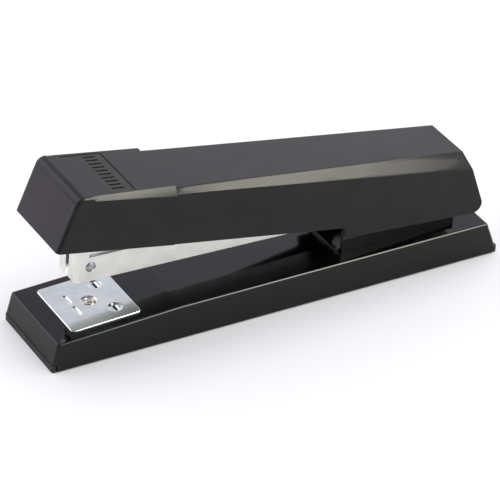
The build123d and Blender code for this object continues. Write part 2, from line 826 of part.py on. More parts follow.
# ---- follower spring: a long coil round the guide rod, pushing the follower to the nose
coil_front = tongue_front + seat_length + follower_wire
coil_length = stop_front - follower_wire - coil_front
follower_coil_start = magazine_side.from_local_coords((coil_front, rod_up, 0))
with BuildPart() as follower_spring:
    with BuildLine(Plane(origin=follower_coil_start, z_dir=magazine_cross.z_dir)) as follower_coil:
        Helix(
            pitch=coil_length / follower_coils,
            height=coil_length,
            radius=rod_radius + rod_coil_clearance,
            direction=magazine_cross.z_dir,
        )
    with BuildSketch(Plane(origin=follower_coil.line @ 0, z_dir=follower_coil.line % 0)):
        Circle(follower_wire / 2)
    sweep(path=follower_coil.line, is_frenet=True)
finish(follower_spring, "follower_spring")

# ---- return spring: stands on the magazine's floor in front of the pin and lifts the cover
return_height = liner_top - liner_sheet - floor_up - return_spring_gap
return_low = floor_up + spring_wire / 2 + spring_gap
return_start = magazine_side.from_local_coords((return_spring_along, return_low, 0))
with BuildPart() as return_spring:
    with BuildLine(Plane(origin=return_start, z_dir=magazine_top.z_dir)) as return_coil:
        Helix(
            pitch=return_height / return_coils,
            height=return_height,
            radius=return_spring_radius,
            direction=magazine_top.z_dir,
        )
    with BuildSketch(Plane(origin=return_coil.line @ 0, z_dir=return_coil.line % 0)):
        Circle(spring_wire / 2)
    sweep(path=return_coil.line, is_frenet=True)
finish(return_spring, "return_spring")

# ---- staple retainer: bridges the front of the magazine above the first staples
retainer_front = track_front + retainer_start
retainer_rear = retainer_front + retainer_length
retainer_bend = retainer_front + retainer_bend_along
retainer_low = follower_top + retainer_gap
retainer_top = retainer_low + retainer_rise
retainer_bend_up = retainer_low + retainer_bend_rise
retainer_end_up = magazine_floor + magazine_height
with BuildPart() as staple_retainer:
    with BuildSketch(magazine_side):
        with BuildLine():
            Polyline(
                (retainer_front, retainer_low),
                (retainer_front, retainer_top),
                (retainer_bend, retainer_bend_up),
                (retainer_rear, retainer_end_up),
                (retainer_rear, retainer_low),
                close=True,
            )
        make_face()
    extrude(amount=inner_half, both=True)
    with BuildSketch(magazine_side):
        with BuildLine():
            Polyline(
                (retainer_front - cut_margin, retainer_low - cut_margin),
                (retainer_front - cut_margin, retainer_top - retainer_sheet),
                (retainer_bend, retainer_bend_up - retainer_sheet),
                (retainer_rear + cut_margin, retainer_end_up - retainer_sheet),
                (retainer_rear + cut_margin, retainer_low - cut_margin),
                close=True,
            )
        make_face()
    extrude(amount=inner_half - retainer_sheet, both=True, mode=Mode.SUBTRACT)
finish(staple_retainer, "staple_retainer")


# ---- cover and cap: both are the form between two cross-sections, trimmed to a side outline

def section_points(side, shoulder, flat, top):
    """Cross-section with upright sides, sloping shoulders and a flat top."""
    return [
        (-side, cover_low),
        (side, cover_low),
        (side, shoulder),
        (flat, top),
        (-flat, top),
        (-side, shoulder),
    ]


def cover_section(along):
    """The cover's cross-section, which narrows evenly to the rear."""
    share = (along - cover_front) / -cover_front
    side = between(cover_side_front, cover_side_rear, share)
    shoulder = between(cover_shoulder_front, cover_shoulder_rear, share)
    flat = between(cover_flat_front, cover_flat_rear, share)
    return section_points(side, shoulder, flat, cover_top)


def cap_section(along):
    """The cap's cross-section, whose shoulders widen evenly to the rear."""
    share = (along - cap_top_front[0]) / (cap_top_rear[0] - cap_top_front[0])
    shoulder = between(cap_shoulder_front, cap_shoulder_rear, share)
    flat = between(cap_flat_front, cap_flat_rear, share)
    return section_points(cap_side, shoulder, flat, cap_top)


def long_form(section, front, rear, inset):
    """The solid between two cross-sections, with its sides moved in by the inset."""
    with BuildPart() as form:
        for along in (front, rear):
            with BuildSketch(cover_cross.offset(along)):
                Polygon(*section(along), align=None)
                if inset > 0:
                    offset(amount=-inset, kind=Kind.INTERSECTION, mode=Mode.REPLACE)
        loft(ruled=True)
    return form.part


def along_line(start, end, up):
    """The point at a given height on the line through two points."""
    return (between(start[0], end[0], (up - start[1]) / (end[1] - start[1])), up)


# ---- inner forms, used as cutters and as the tongue
tongue_inset = cap_wall + cap_gap
cap_form_front = cap_bottom_front[0] - cap_front_margin
cap_form_rear = cap_bottom_rear[0] + cap_rear_margin
with BuildPart() as cover_hollow:
    add(long_form(cover_section, cap_bottom_rear[0] - tongue_length, rear_low[0] + cut_margin, cover_wall))
    with BuildSketch(cover_side):
        Polygon(
            along_line(rear_low, rear_top, cover_low),
            along_line(rear_low, rear_top, -cover_low),
            (cap_bottom_front[0], -cover_low),
            (cap_bottom_front[0], cover_low),
            align=None,
        )
        offset(amount=-cover_wall, kind=Kind.INTERSECTION, mode=Mode.REPLACE)
    extrude(amount=base_width, both=True, mode=Mode.INTERSECT)

with BuildPart() as tongue:
    add(long_form(cap_section, cap_bottom_front[0], cap_bottom_rear[0] + 2 * tongue_root, tongue_inset))
    add(
        long_form(
            cap_section,
            cap_bottom_front[0],
            cap_bottom_rear[0] + 2 * tongue_root,
            tongue_inset + tongue_wall,
        ),
        mode=Mode.SUBTRACT,
    )
    with BuildSketch(cover_side):
        Polygon(
            (cap_bottom_rear[0] - tongue_length, cap_bottom_rear[1] + tongue_rise),
            (cap_bottom_rear[0] - tongue_length, -cover_low),
            (cap_bottom_rear[0] + tongue_root, -cover_low),
            (cap_bottom_rear[0] + tongue_root, cap_bottom_rear[1] + tongue_rise),
            align=None,
        )
    extrude(amount=base_width, both=True, mode=Mode.INTERSECT)

with BuildPart() as cap_hollow:
    add(long_form(cap_section, cap_form_front, cap_form_rear, cap_wall))
    with BuildSketch(cover_side):
        Polygon(
            along_line(cap_bottom_front, cap_top_front, cover_low),
            along_line(cap_bottom_front, cap_top_front, cap_top),
            (cover_step_along, cap_top),
            (cover_step_along, cover_low),
            align=None,
        )
        offset(amount=-cap_wall, kind=Kind.INTERSECTION, mode=Mode.REPLACE)
        fillet(vertices().group_by(Axis.X)[0].sort_by(Axis.Y)[-1], cap_fold_radius - cap_wall)
    extrude(amount=base_width, both=True, mode=Mode.INTERSECT)

# ---- cover shell: one moulding, open below, with a deeper rear skirt and a tongue inside the cap
joint_top = along_line(cap_bottom_rear, cap_top_rear, cover_top + cut_margin)
with BuildPart() as cover_shell:
    add(long_form(cover_section, cap_bottom_rear[0] - tongue_length, rear_low[0] + cut_margin, 0))
    with BuildSketch(cover_side):
        Polygon(
            (cap_bottom_rear[0] + joint_gap, cap_bottom_rear[1]),
            (joint_top[0] + joint_gap, joint_top[1]),
            along_line(rear_low, rear_top, cover_top + cut_margin),
            rear_low,
            (cover_step_along, cover_step_up),
            (cover_step_along, cover_step_top),
            align=None,
        )
        fillet(vertices().sort_by(Axis.X)[-1], rear_corner_radius)
    extrude(amount=base_width, both=True, mode=Mode.INTERSECT)
    long_edges = cover_shell.edges().filter_by(lambda e: e.length > -cover_front / 2)
    top_edges = long_edges.filter_by(lambda e: cover_above.to_local_coords(e.center()).Z > 0)
    fillet(top_edges, cover_edge_radius)
    add(cover_hollow.part, mode=Mode.SUBTRACT)
    add(tongue.part)
    # the rear wall stops short, so that the bracket passes when the cover swings up
    with BuildSketch(cover_cross):
        with Locations((0, cover_notch_top)):
            Rectangle(
                2 * (bracket_half + cover_notch_gap),
                -2 * cover_low,
                align=(Align.CENTER, Align.MAX),
            )
        fillet(vertices().group_by(Axis.Z)[-1], cover_notch_radius)
    extrude(amount=2 * rear_low[0], mode=Mode.SUBTRACT)
    # posts for the liner's screws
    with BuildSketch(cover_above.offset(liner_top)):
        with Locations(*post_places):
            Circle(post_radius)
    extrude(amount=post_height)
    with BuildSketch(cover_above.offset(liner_top)):
        with Locations(*post_places):
            Circle(post_bore)
    extrude(amount=post_height - post_roof, mode=Mode.SUBTRACT)
finish(cover_shell, "cover_shell")

# ---- front cap: its own moulding over the cover's nose, folded from the top down to the front face
with BuildPart() as front_cap:
    add(long_form(cap_section, cap_form_front, cap_form_rear, 0))
    with BuildSketch(cover_side):
        Polygon(cap_bottom_front, cap_top_front, cap_top_rear, cap_bottom_rear, align=None)
        fillet(vertices().group_by(Axis.Y)[-1].sort_by(Axis.X)[0], cap_fold_radius)
    extrude(amount=base_width, both=True, mode=Mode.INTERSECT)
    side_edges = front_cap.edges().filter_by(
        lambda e: abs(cover_above.to_local_coords(e.center()).Y) > cap_side - cap_gap
    )
    front_corners = side_edges.sort_by(lambda e: cover_above.to_local_coords(e.center()).X)[:2]
    fillet(front_corners, cap_corner_radius)
    add(cap_hollow.part, mode=Mode.SUBTRACT)
    with BuildSketch(cover_above.offset(cap_top)):
        with Locations((line_front, line_side)):
            Rectangle(line_rear - line_front, line_width, align=(Align.MIN, Align.CENTER))
        with Locations((line_rear, 0)):
            Rectangle(line_width, 2 * line_side, align=(Align.MAX, Align.CENTER))
        with Locations((-reach - rib_ahead, 0)):
            with GridLocations(rib_length, rib_pitch, 1, rib_count):
                Rectangle(rib_length, rib_width)
    extrude(amount=-line_depth, mode=Mode.SUBTRACT)
finish(front_cap, "front_cap")

# ---- cover liner: upturned sheet channel that hangs the cover on the pin and carries the blade
liner_under = liner_top - liner_sheet
liner_front = -reach - liner_front_ahead
with BuildPart() as cover_liner:
    with BuildSketch(cover_side):
        Polygon(
            (liner_front, liner_top),
            (liner_rear, liner_top),
            (liner_ear_top_along, liner_ear_top_up),
            (0, 0),
            (liner_low_rear, liner_low_middle),
            (cover_step_along, liner_low_middle),
            (liner_front, liner_low_front),
            align=None,
        )
        Circle(liner_ear_radius)
    extrude(amount=liner_half_width, both=True)
    with BuildSketch(cover_side):
        with Locations((0, liner_under)):
            Rectangle(2 * base_length, base_length, align=(Align.CENTER, Align.MAX))
    extrude(amount=liner_half_width - liner_sheet, both=True, mode=Mode.SUBTRACT)
    with BuildSketch(cover_side):
        Circle(pin_radius + pin_clearance)
    extrude(amount=base_width, both=True, mode=Mode.SUBTRACT)
    with BuildSketch(cover_above.offset(liner_top)):
        with Locations(*post_places):
            Circle(post_bore)
        with Locations(*blade_rivet_places):
            Circle(blade_rivet_radius)
    extrude(amount=-liner_sheet, mode=Mode.SUBTRACT)
finish(cover_liner, "cover_liner")

# ---- liner screws: hold the liner to the cover's posts
with BuildPart() as liner_screws:
    with BuildSketch(cover_above.offset(liner_under)):
        with Locations(*post_places):
            Circle(2 * post_bore)
    extrude(amount=-liner_screw_head)
    with BuildSketch(cover_above.offset(liner_under)):
        with Locations(*post_places):
            Circle(post_bore)
    extrude(amount=liner_sheet + post_height - post_roof - post_screw_gap)
finish(liner_screws, "liner_screws")

# ---- driver blade: square to the magazine when the cover is pressed down, its tab on the liner
blade_rear = track_front - blade_clearance
blade_half = crown_width / 2 - blade_side_clearance
swing = math.radians(cover_tilt - magazine_tilt - closing_angle)
blade_height = (liner_top + blade_thickness - blade_rear * math.sin(swing)) / math.cos(swing)
blade_top_along = blade_rear * math.cos(swing) - blade_height * math.sin(swing)
with BuildPart() as driver_blade:
    with BuildSketch(blade_side):
        with Locations((blade_rear, magazine_floor)):
            Rectangle(blade_thickness, blade_height - magazine_floor, align=(Align.MAX, Align.MIN))
    extrude(amount=blade_half, both=True)
    with BuildSketch(cover_side):
        with Locations((blade_top_along - blade_thickness / 2, liner_top)):
            Rectangle(blade_tab_length, blade_thickness, align=low_corner)
    extrude(amount=blade_half, both=True)
    with BuildSketch(cover_above.offset(liner_top)):
        with Locations(*blade_rivet_places):
            Circle(blade_rivet_radius)
    extrude(amount=blade_thickness, mode=Mode.SUBTRACT)
finish(driver_blade, "driver_blade")

# ---- blade rivets: two, through the blade's tab and the liner
with BuildPart() as blade_rivets:
    with BuildSketch(cover_above.offset(liner_under)):
        with Locations(*blade_rivet_places):
            Circle(blade_rivet_radius)
    extrude(amount=liner_sheet + blade_thickness)
    with BuildSketch(cover_above.offset(liner_top + blade_thickness)):
        with Locations(*blade_rivet_places):
            Circle(blade_rivet_head_radius)
    extrude(amount=blade_rivet_head_height)
finish(blade_rivets, "blade_rivets")
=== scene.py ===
import json
import math

import bmesh
import bpy
from mathutils import Matrix, Vector


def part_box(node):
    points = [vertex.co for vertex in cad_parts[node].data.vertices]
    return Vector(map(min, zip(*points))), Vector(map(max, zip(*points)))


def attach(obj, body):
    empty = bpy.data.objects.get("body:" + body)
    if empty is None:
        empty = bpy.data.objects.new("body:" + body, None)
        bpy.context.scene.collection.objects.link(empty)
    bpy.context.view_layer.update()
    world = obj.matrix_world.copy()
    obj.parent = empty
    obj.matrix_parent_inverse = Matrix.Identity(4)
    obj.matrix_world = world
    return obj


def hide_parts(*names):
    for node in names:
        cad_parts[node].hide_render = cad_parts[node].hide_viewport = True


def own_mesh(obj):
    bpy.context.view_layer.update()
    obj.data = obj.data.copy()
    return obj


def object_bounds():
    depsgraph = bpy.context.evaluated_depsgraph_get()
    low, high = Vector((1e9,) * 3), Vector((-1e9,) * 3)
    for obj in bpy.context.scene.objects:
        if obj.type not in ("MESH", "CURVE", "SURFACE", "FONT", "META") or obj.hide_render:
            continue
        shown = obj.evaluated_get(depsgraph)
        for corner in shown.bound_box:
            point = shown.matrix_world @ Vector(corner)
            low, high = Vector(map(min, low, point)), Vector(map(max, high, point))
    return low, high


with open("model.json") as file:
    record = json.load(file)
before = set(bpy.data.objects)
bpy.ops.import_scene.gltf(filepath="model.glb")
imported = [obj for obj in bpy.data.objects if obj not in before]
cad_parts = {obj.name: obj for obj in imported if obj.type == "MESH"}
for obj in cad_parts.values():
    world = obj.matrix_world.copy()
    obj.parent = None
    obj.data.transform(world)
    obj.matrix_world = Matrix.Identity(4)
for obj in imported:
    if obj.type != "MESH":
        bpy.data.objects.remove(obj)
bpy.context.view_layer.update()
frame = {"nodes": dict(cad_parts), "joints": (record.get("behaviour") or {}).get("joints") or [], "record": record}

nodes = frame["nodes"]
joints = {joint["name"]: joint for joint in frame["joints"]}
floor_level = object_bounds()[0].z
MM = 0.001
ALONG = Vector((1, 0, 0))
ACROSS = Vector((0, 1, 0))


# ---- camera: long lens, from the front left and above
VIEW_AZIMUTH = -33.0
VIEW_ELEVATION = 33.2
VIEW_ROLL = 4.8
VIEW_DISTANCE = 1.195
VIEW_TARGET = Vector((-0.0049, 0, 0.018))
LENS_MM = 212.6
CLIP_START = 0.05


def make_camera():
    """The camera looks at the target from the given azimuth and elevation, rolled about its own axis."""
    azimuth, elevation, roll = (math.radians(a) for a in (VIEW_AZIMUTH, VIEW_ELEVATION, VIEW_ROLL))
    level = math.cos(elevation)
    back = Vector((math.sin(azimuth) * level, -math.cos(azimuth) * level, math.sin(elevation)))
    right = Vector((math.cos(azimuth), math.sin(azimuth), 0))
    up = back.cross(right)
    rolled_right = right * math.cos(roll) + up * math.sin(roll)
    rolled_up = up * math.cos(roll) - right * math.sin(roll)
    data = bpy.data.cameras.new("camera")
    data.lens = LENS_MM
    data.clip_start = CLIP_START
    camera = bpy.data.objects.new("camera", data)
    bpy.context.scene.collection.objects.link(camera)
    turn = Matrix((rolled_right, rolled_up, back)).transposed()
    camera.matrix_world = Matrix.Translation(VIEW_TARGET + back * VIEW_DISTANCE) @ turn.to_4x4()
    bpy.context.scene.camera = camera


# ---- node helpers
# the colour sockets of a Mix node, by number, because its other sockets have the same names
MIX_SHARE = 0
MIX_FIRST = 6
MIX_SECOND = 7
MIX_RESULT = 2


def new_material(name):
    """An empty node material with its shader, and the object coordinates that its textures use."""
    material = bpy.data.materials.new(name)
    material.use_nodes = True
    tree = material.node_tree
    shader = tree.nodes["Principled BSDF"]
    coordinates = tree.nodes.new("ShaderNodeTexCoord").outputs["Object"]
    return material, tree, shader, coordinates


def stretched(tree, coordinates, scale):
    """Coordinates multiplied by a scale along each axis."""
    mapping = tree.nodes.new("ShaderNodeMapping")
    mapping.inputs["Scale"].default_value = scale
    tree.links.new(coordinates, mapping.inputs["Vector"])
    return mapping.outputs["Vector"]


def noise(tree, coordinates, scale, detail, roughness=0.5):
    """Noise from 0 to 1 at a scale per metre."""
    node = tree.nodes.new("ShaderNodeTexNoise")
    node.inputs["Scale"].default_value = scale
    node.inputs["Detail"].default_value = detail
    node.inputs["Roughness"].default_value = roughness
    tree.links.new(coordinates, node.inputs["Vector"])
    return node.outputs["Fac"]


def remap(tree, value, low, high, from_low=0.3, from_high=0.7):
    """A value spread over a new range."""
    node = tree.nodes.new("ShaderNodeMapRange")
    ends = {"From Min": from_low, "From Max": from_high, "To Min": low, "To Max": high}
    for socket, number in ends.items():
        node.inputs[socket].default_value = number
    tree.links.new(value, node.inputs["Value"])
    return node.outputs["Result"]


def colour_mix(tree, share, second):
    """A node that mixes its first colour with a second one, by a value from 0 to 1."""
    node = tree.nodes.new("ShaderNodeMix")
    node.data_type = "RGBA"
    node.inputs[MIX_SECOND].default_value = (*second, 1)
    tree.links.new(share, node.inputs[MIX_SHARE])
    return node


def two_tone(tree, share, first, second):
    """A colour between two, by a value from 0 to 1."""
    node = colour_mix(tree, share, second)
    node.inputs[MIX_FIRST].default_value = (*first, 1)
    return node.outputs[MIX_RESULT]


def toned(colour, gain, lift=0.0):
    """A slightly lighter or darker tone of a colour."""
    return tuple(channel * gain + lift for channel in colour)


def bumped(tree, shader, height, strength, distance, below=None):
    """Adds a bump to the shader, over another one where it is given."""
    node = tree.nodes.new("ShaderNodeBump")
    node.inputs["Strength"].default_value = strength
    node.inputs["Distance"].default_value = distance
    tree.links.new(height, node.inputs["Height"])
    if below is not None:
        tree.links.new(below, node.inputs["Normal"])
    tree.links.new(node.outputs["Normal"], shader.inputs["Normal"])
    return node.outputs["Normal"]


# ---- materials
def moulded_plastic(name, colour, roughness, grain, specular):
    """Black moulded plastic: fine spark grain, a faint flow mottle, and patches rubbed a little smoother."""
    material, tree, shader, place = new_material(name)
    mottle = remap(tree, noise(tree, place, scale=90, detail=5), low=0, high=1)
    lighter = toned(colour, gain=1.35, lift=0.002)
    tree.links.new(two_tone(tree, mottle, colour, lighter), shader.inputs["Base Color"])
    patches = noise(tree, place, scale=38, detail=4)
    rubbed = remap(tree, patches, low=roughness - 0.05, high=roughness + 0.05)
    tree.links.new(rubbed, shader.inputs["Roughness"])
    shader.inputs["Specular IOR Level"].default_value = specular
    sparks = noise(tree, place, scale=3800, detail=2, roughness=0.6)
    bumped(tree, shader, sparks, strength=grain, distance=0.00003)
    return material


def polished_plastic(name, colour, roughness, specular):
    """High-gloss black moulding, with a slow ripple in its shine and hair-fine scratches along it."""
    material, tree, shader, place = new_material(name)
    haze = remap(tree, noise(tree, place, scale=60, detail=5), low=0, high=1)
    lighter = toned(colour, gain=1.6, lift=0.001)
    tree.links.new(two_tone(tree, haze, colour, lighter), shader.inputs["Base Color"])
    scratches = noise(tree, stretched(tree, place, (0.06, 1, 1)), scale=5200, detail=2)
    worn = remap(tree, scratches, low=roughness, high=roughness + 0.07, from_low=0.55, from_high=0.8)
    tree.links.new(worn, shader.inputs["Roughness"])
    shader.inputs["Specular IOR Level"].default_value = specular
    waves = noise(tree, place, scale=45, detail=1)
    ripple = bumped(tree, shader, waves, strength=0.12, distance=0.0004)
    bumped(tree, shader, scratches, strength=0.05, distance=0.00001, below=ripple)
    return material


def sheet_metal(name, colour, roughness, brush, spread=0.06, along=(0.04, 1, 1)):
    """Plated or brushed sheet: lines along the sheet, soft clouds in the plating and small scuffs."""
    material, tree, shader, place = new_material(name)
    clouds = remap(tree, noise(tree, place, scale=140, detail=4), low=0, high=1)
    darker = toned(colour, gain=0.86)
    tree.links.new(two_tone(tree, clouds, darker, colour), shader.inputs["Base Color"])
    lines = noise(tree, stretched(tree, place, along), scale=4200, detail=3, roughness=0.6)
    brushed = remap(tree, lines, low=roughness - spread, high=roughness + spread)
    tree.links.new(brushed, shader.inputs["Roughness"])
    shader.inputs["Metallic"].default_value = 1.0
    fine = bumped(tree, shader, lines, strength=brush, distance=0.00002)
    scuffs = noise(tree, place, scale=700, detail=2)
    bumped(tree, shader, scuffs, strength=0.04, distance=0.00005, below=fine)
    return material


def soft_pad(name, colour, dusty):
    """Dull rubber with a pebbled skin and a little dust."""
    material, tree, shader, place = new_material(name)
    dust = remap(tree, noise(tree, place, scale=150, detail=5), low=0, high=1)
    tree.links.new(two_tone(tree, dust, colour, dusty), shader.inputs["Base Color"])
    worn = remap(tree, noise(tree, place, scale=300, detail=3), low=0.6, high=0.8)
    tree.links.new(worn, shader.inputs["Roughness"])
    pebbles = noise(tree, place, scale=1600, detail=3)
    bumped(tree, shader, pebbles, strength=0.3, distance=0.00008)
    return material


MATERIALS = {
    "base_plastic": polished_plastic(
        "base_gloss_black", colour=(0.0012, 0.0012, 0.0012), roughness=0.08, specular=0.29
    ),
    "cover_plastic": moulded_plastic(
        "cover_satin_black", colour=(0.0065, 0.0065, 0.0067), roughness=0.27, grain=0.2, specular=0.22
    ),
    "cap_plastic": moulded_plastic(
        "cap_satin_black", colour=(0.0065, 0.0065, 0.0067), roughness=0.30, grain=0.25, specular=0.22
    ),
    "pad_rubber": soft_pad("pad_rubber", colour=(0.012, 0.012, 0.012), dusty=(0.028, 0.027, 0.026)),
    "anvil_steel": sheet_metal(
        "anvil_plate_bright", colour=(0.63, 0.67, 0.66), roughness=0.13, brush=0.10, spread=0.03
    ),
    "magazine_steel": sheet_metal("magazine_zinc", colour=(0.78, 0.78, 0.74), roughness=0.32, brush=0.10),
    "bracket_black": polished_plastic(
        "bracket_gloss_black", colour=(0.007, 0.007, 0.0075), roughness=0.12, specular=0.45
    ),
    "liner_steel": sheet_metal("liner_steel", colour=(0.66, 0.66, 0.66), roughness=0.32, brush=0.12),
    # the blade is brushed up and down
    "blade_steel": sheet_metal(
        "blade_steel", colour=(0.52, 0.52, 0.53), roughness=0.28, brush=0.2, along=(1, 1, 0.04)
    ),
    "spring_steel": sheet_metal("spring_steel", colour=(0.60, 0.60, 0.62), roughness=0.25, brush=0.08),
    "stem_brass": sheet_metal("stem_bronze", colour=(0.50, 0.43, 0.38), roughness=0.22, brush=0.12),
    "button_plastic": moulded_plastic(
        "button_black", colour=(0.02, 0.02, 0.02), roughness=0.42, grain=0.3, specular=0.4
    ),
    "screw_steel": sheet_metal("screw_steel", colour=(0.40, 0.40, 0.41), roughness=0.35, brush=0.1),
}


def paint_cad_nodes():
    """Every CAD node takes the detailed material of its slot."""
    for entry in frame["record"]["subparts"]:
        node = nodes[entry["node"]]
        node.data.materials.clear()
        node.data.materials.append(MATERIALS[entry["material_slot"]])


# ---- mesh helpers
def new_piece(name, vertices, faces, body, slot_name, sharp_angle):
    """A smooth-shaded mesh object that rides on a body and takes its finish from a slot."""
    mesh = bpy.data.meshes.new(name)
    mesh.from_pydata([tuple(v) for v in vertices], [], faces)
    mesh.update()
    for polygon in mesh.polygons:
        polygon.use_smooth = True
    mesh.set_sharp_from_angle(angle=math.radians(sharp_angle))
    mesh.materials.append(MATERIALS[slot_name])
    piece = bpy.data.objects.new(name, mesh)
    bpy.context.scene.collection.objects.link(piece)
    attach(piece, body)
    return piece


def turned(profile, centre, axis, side, segments):
    """The vertices and faces of a turned form. Its profile is (radius, height) in mm, from the foot up."""
    other = axis.cross(side)
    vertices, faces = [], []
    for radius, height in profile:
        for k in range(segments):
            turn = 2 * math.pi * k / segments
            spoke = side * math.cos(turn) + other * math.sin(turn)
            vertices.append(centre + spoke * (radius * MM) + axis * (height * MM))
    for ring in range(len(profile) - 1):
        for k in range(segments):
            first, second = ring * segments + k, ring * segments + (k + 1) % segments
            faces.append((first, second, second + segments, first + segments))
    return vertices, faces


def smooth_step(value):
    """Eases from 0 to 1."""
    value = min(1.0, max(0.0, value))
    return value * value * (3 - 2 * value)


def outline_distance(x, y, half_x, half_y, corner):
    """Signed distance in mm to a rounded rectangle, negative inside, and the way out of it."""
    over_x, over_y = abs(x) - (half_x - corner), abs(y) - (half_y - corner)
    sign_x, sign_y = math.copysign(1, x), math.copysign(1, y)
    if over_x > 0 and over_y > 0:
        reach = math.hypot(over_x, over_y)
        return reach - corner, (sign_x * over_x / reach, sign_y * over_y / reach)
    if over_x > over_y:
        return over_x - corner, (sign_x, 0)
    return over_y - corner, (0, sign_y)


# ---- anvil plate, in mm from the middle of its turning joint
PLATE_HALF_LENGTH = 15.4
PLATE_HALF_WIDTH = 15.8
PLATE_CORNER = 1.8
PLATE_FACE = 0.6
PLATE_UNDER = 0.05
PLATE_RIM = 0.3
MESH_STEP = 0.16
COUNTERSINK_RADIUS = 3.35
COUNTERSINK_SLOPE = 0.5
COUNTERSINK_DEPTH = 0.32
# both pairs of forming grooves lie this far from the middle
GROOVE_AHEAD = 7.3
SCOOP_ROUNDNESS = 0.7
# front pair: scoops in one line that curl the legs inwards, deeper at their outer ends
INWARD_SIDE = 4.05
INWARD_HALF_LENGTH = 3.3
INWARD_HALF_WIDTH = 1.05
INWARD_DEPTH = 0.62
INWARD_SLOPE = 0.25
# rear pair: a round dimple with a scoop in it that throws the legs outwards
OUTWARD_SIDE = 8.65
OUTWARD_HALF_LENGTH = 2.5
OUTWARD_HALF_WIDTH = 1.0
OUTWARD_DEPTH = 0.42
DIMPLE_RADIUS = 3.0
DIMPLE_SLOPE = 0.9
DIMPLE_DEPTH = 0.3


def scoop_share(along, across):
    """How deep a blunt-ended scoop is at a point, from 0 outside it to 1 in its middle."""
    inside = along * along * along * along + across * across
    return (1 - inside) ** SCOOP_ROUNDNESS if inside < 1 else 0.0


def pressed_depth(x, y):
    """How deep the anvil's face is pressed at a point: the countersink round the rivet and the grooves."""
    side = abs(y)
    rivet_gap = COUNTERSINK_RADIUS - math.hypot(x, y)
    depth = COUNTERSINK_DEPTH * smooth_step(rivet_gap / COUNTERSINK_SLOPE)
    along = (side - INWARD_SIDE) / INWARD_HALF_LENGTH
    scoop = scoop_share(along, (x + GROOVE_AHEAD) / INWARD_HALF_WIDTH)
    depth = max(depth, INWARD_DEPTH * scoop * (1 - INWARD_SLOPE + INWARD_SLOPE * along))
    dimple_gap = DIMPLE_RADIUS - math.hypot(x - GROOVE_AHEAD, side - OUTWARD_SIDE)
    depth = max(depth, DIMPLE_DEPTH * smooth_step(dimple_gap / DIMPLE_SLOPE))
    along = (side - OUTWARD_SIDE) / OUTWARD_HALF_LENGTH
    scoop = scoop_share(along, (x - GROOVE_AHEAD) / OUTWARD_HALF_WIDTH)
    if scoop > 0:
        depth = max(depth, DIMPLE_DEPTH + OUTWARD_DEPTH * scoop)
    return depth


def plate_surface(centre, forward, up):
    """The vertices and faces of the pressed face, a grid whose outer row lies on the plate's outline."""
    count_x = int(2 * PLATE_HALF_LENGTH / MESH_STEP) + 3
    count_y = int(2 * PLATE_HALF_WIDTH / MESH_STEP) + 3
    vertices, kept, faces = [], [], []
    for i in range(count_x):
        for j in range(count_y):
            x, y = (i - (count_x - 1) / 2) * MESH_STEP, (j - (count_y - 1) / 2) * MESH_STEP
            gap, out = outline_distance(x, y, PLATE_HALF_LENGTH, PLATE_HALF_WIDTH, PLATE_CORNER)
            kept.append(gap < 0.5 * MESH_STEP)
            if gap > -0.5 * MESH_STEP:
                x, y = x - out[0] * gap, y - out[1] * gap
                gap = 0.0
            drop = PLATE_RIM - math.sqrt(PLATE_RIM * PLATE_RIM - max(0.0, PLATE_RIM + gap) ** 2)
            height = PLATE_FACE - min(drop, PLATE_FACE - PLATE_UNDER) - pressed_depth(x, y)
            vertices.append(centre + forward * (x * MM) + ACROSS * (y * MM) + up * (height * MM))
    for i in range(count_x - 1):
        for j in range(count_y - 1):
            near, far = i * count_y + j, (i + 1) * count_y + j
            corners = (near, far, far + 1, near + 1)
            if all(kept[k] for k in corners):
                faces.append(corners)
    return vertices, faces


def with_skirt(vertices, faces, centre, up):
    """The pressed face with its border drawn down to the plate's underside, and without loose vertices."""
    sheet = bmesh.new()
    made = [sheet.verts.new(v) for v in vertices]
    for face_corners in faces:
        sheet.faces.new([made[k] for k in face_corners])
    bmesh.ops.delete(sheet, geom=[v for v in sheet.verts if not v.link_faces], context="VERTS")
    border = [edge for edge in sheet.edges if edge.is_boundary]
    skirt = bmesh.ops.extrude_edge_only(sheet, edges=border)["geom"]
    for vertex in [item for item in skirt if isinstance(item, bmesh.types.BMVert)]:
        height = (vertex.co - centre).dot(up)
        vertex.co -= up * (height - PLATE_UNDER * MM)
    bmesh.ops.recalc_face_normals(sheet, faces=sheet.faces)
    sheet.verts.index_update()
    points = [v.co.copy() for v in sheet.verts]
    polygons = [[v.index for v in f.verts] for f in sheet.faces]
    sheet.free()
    return points, polygons


# ---- the anvil's semi-tubular rivet and the nose's studs: (radius, height) in mm, from the middle out
RIVET_HEAD = [
    (0.0, 0.5), (0.5, 0.52), (1.0, 0.46), (1.35, 0.3), (1.5, 0.12), (1.62, 0.08),
    (1.74, 0.2), (1.9, 0.48), (2.1, 0.62), (2.35, 0.64), (2.6, 0.56), (2.76, 0.44), (2.8, 0.3),
]
RIVET_UNDER_HEAD = 0.25
RIVET_SHANK = 2.2
RIVET_NECK = 1.6
RIVET_NECK_LENGTH = 3.4
RIVET_FOOT_GAP = 0.05
RIVET_SEGMENTS = 64
STUD_PROFILE = [
    (0.0, 0.0), (0.6, -0.02), (1.1, -0.1), (1.5, -0.24), (1.8, -0.42), (1.98, -0.6),
    (2.04, -0.68), (2.2, -0.7), (2.2, -0.8), (1.55, -0.82), (1.55, -1.7), (0.0, -1.7),
]
STUD_SEGMENTS = 48


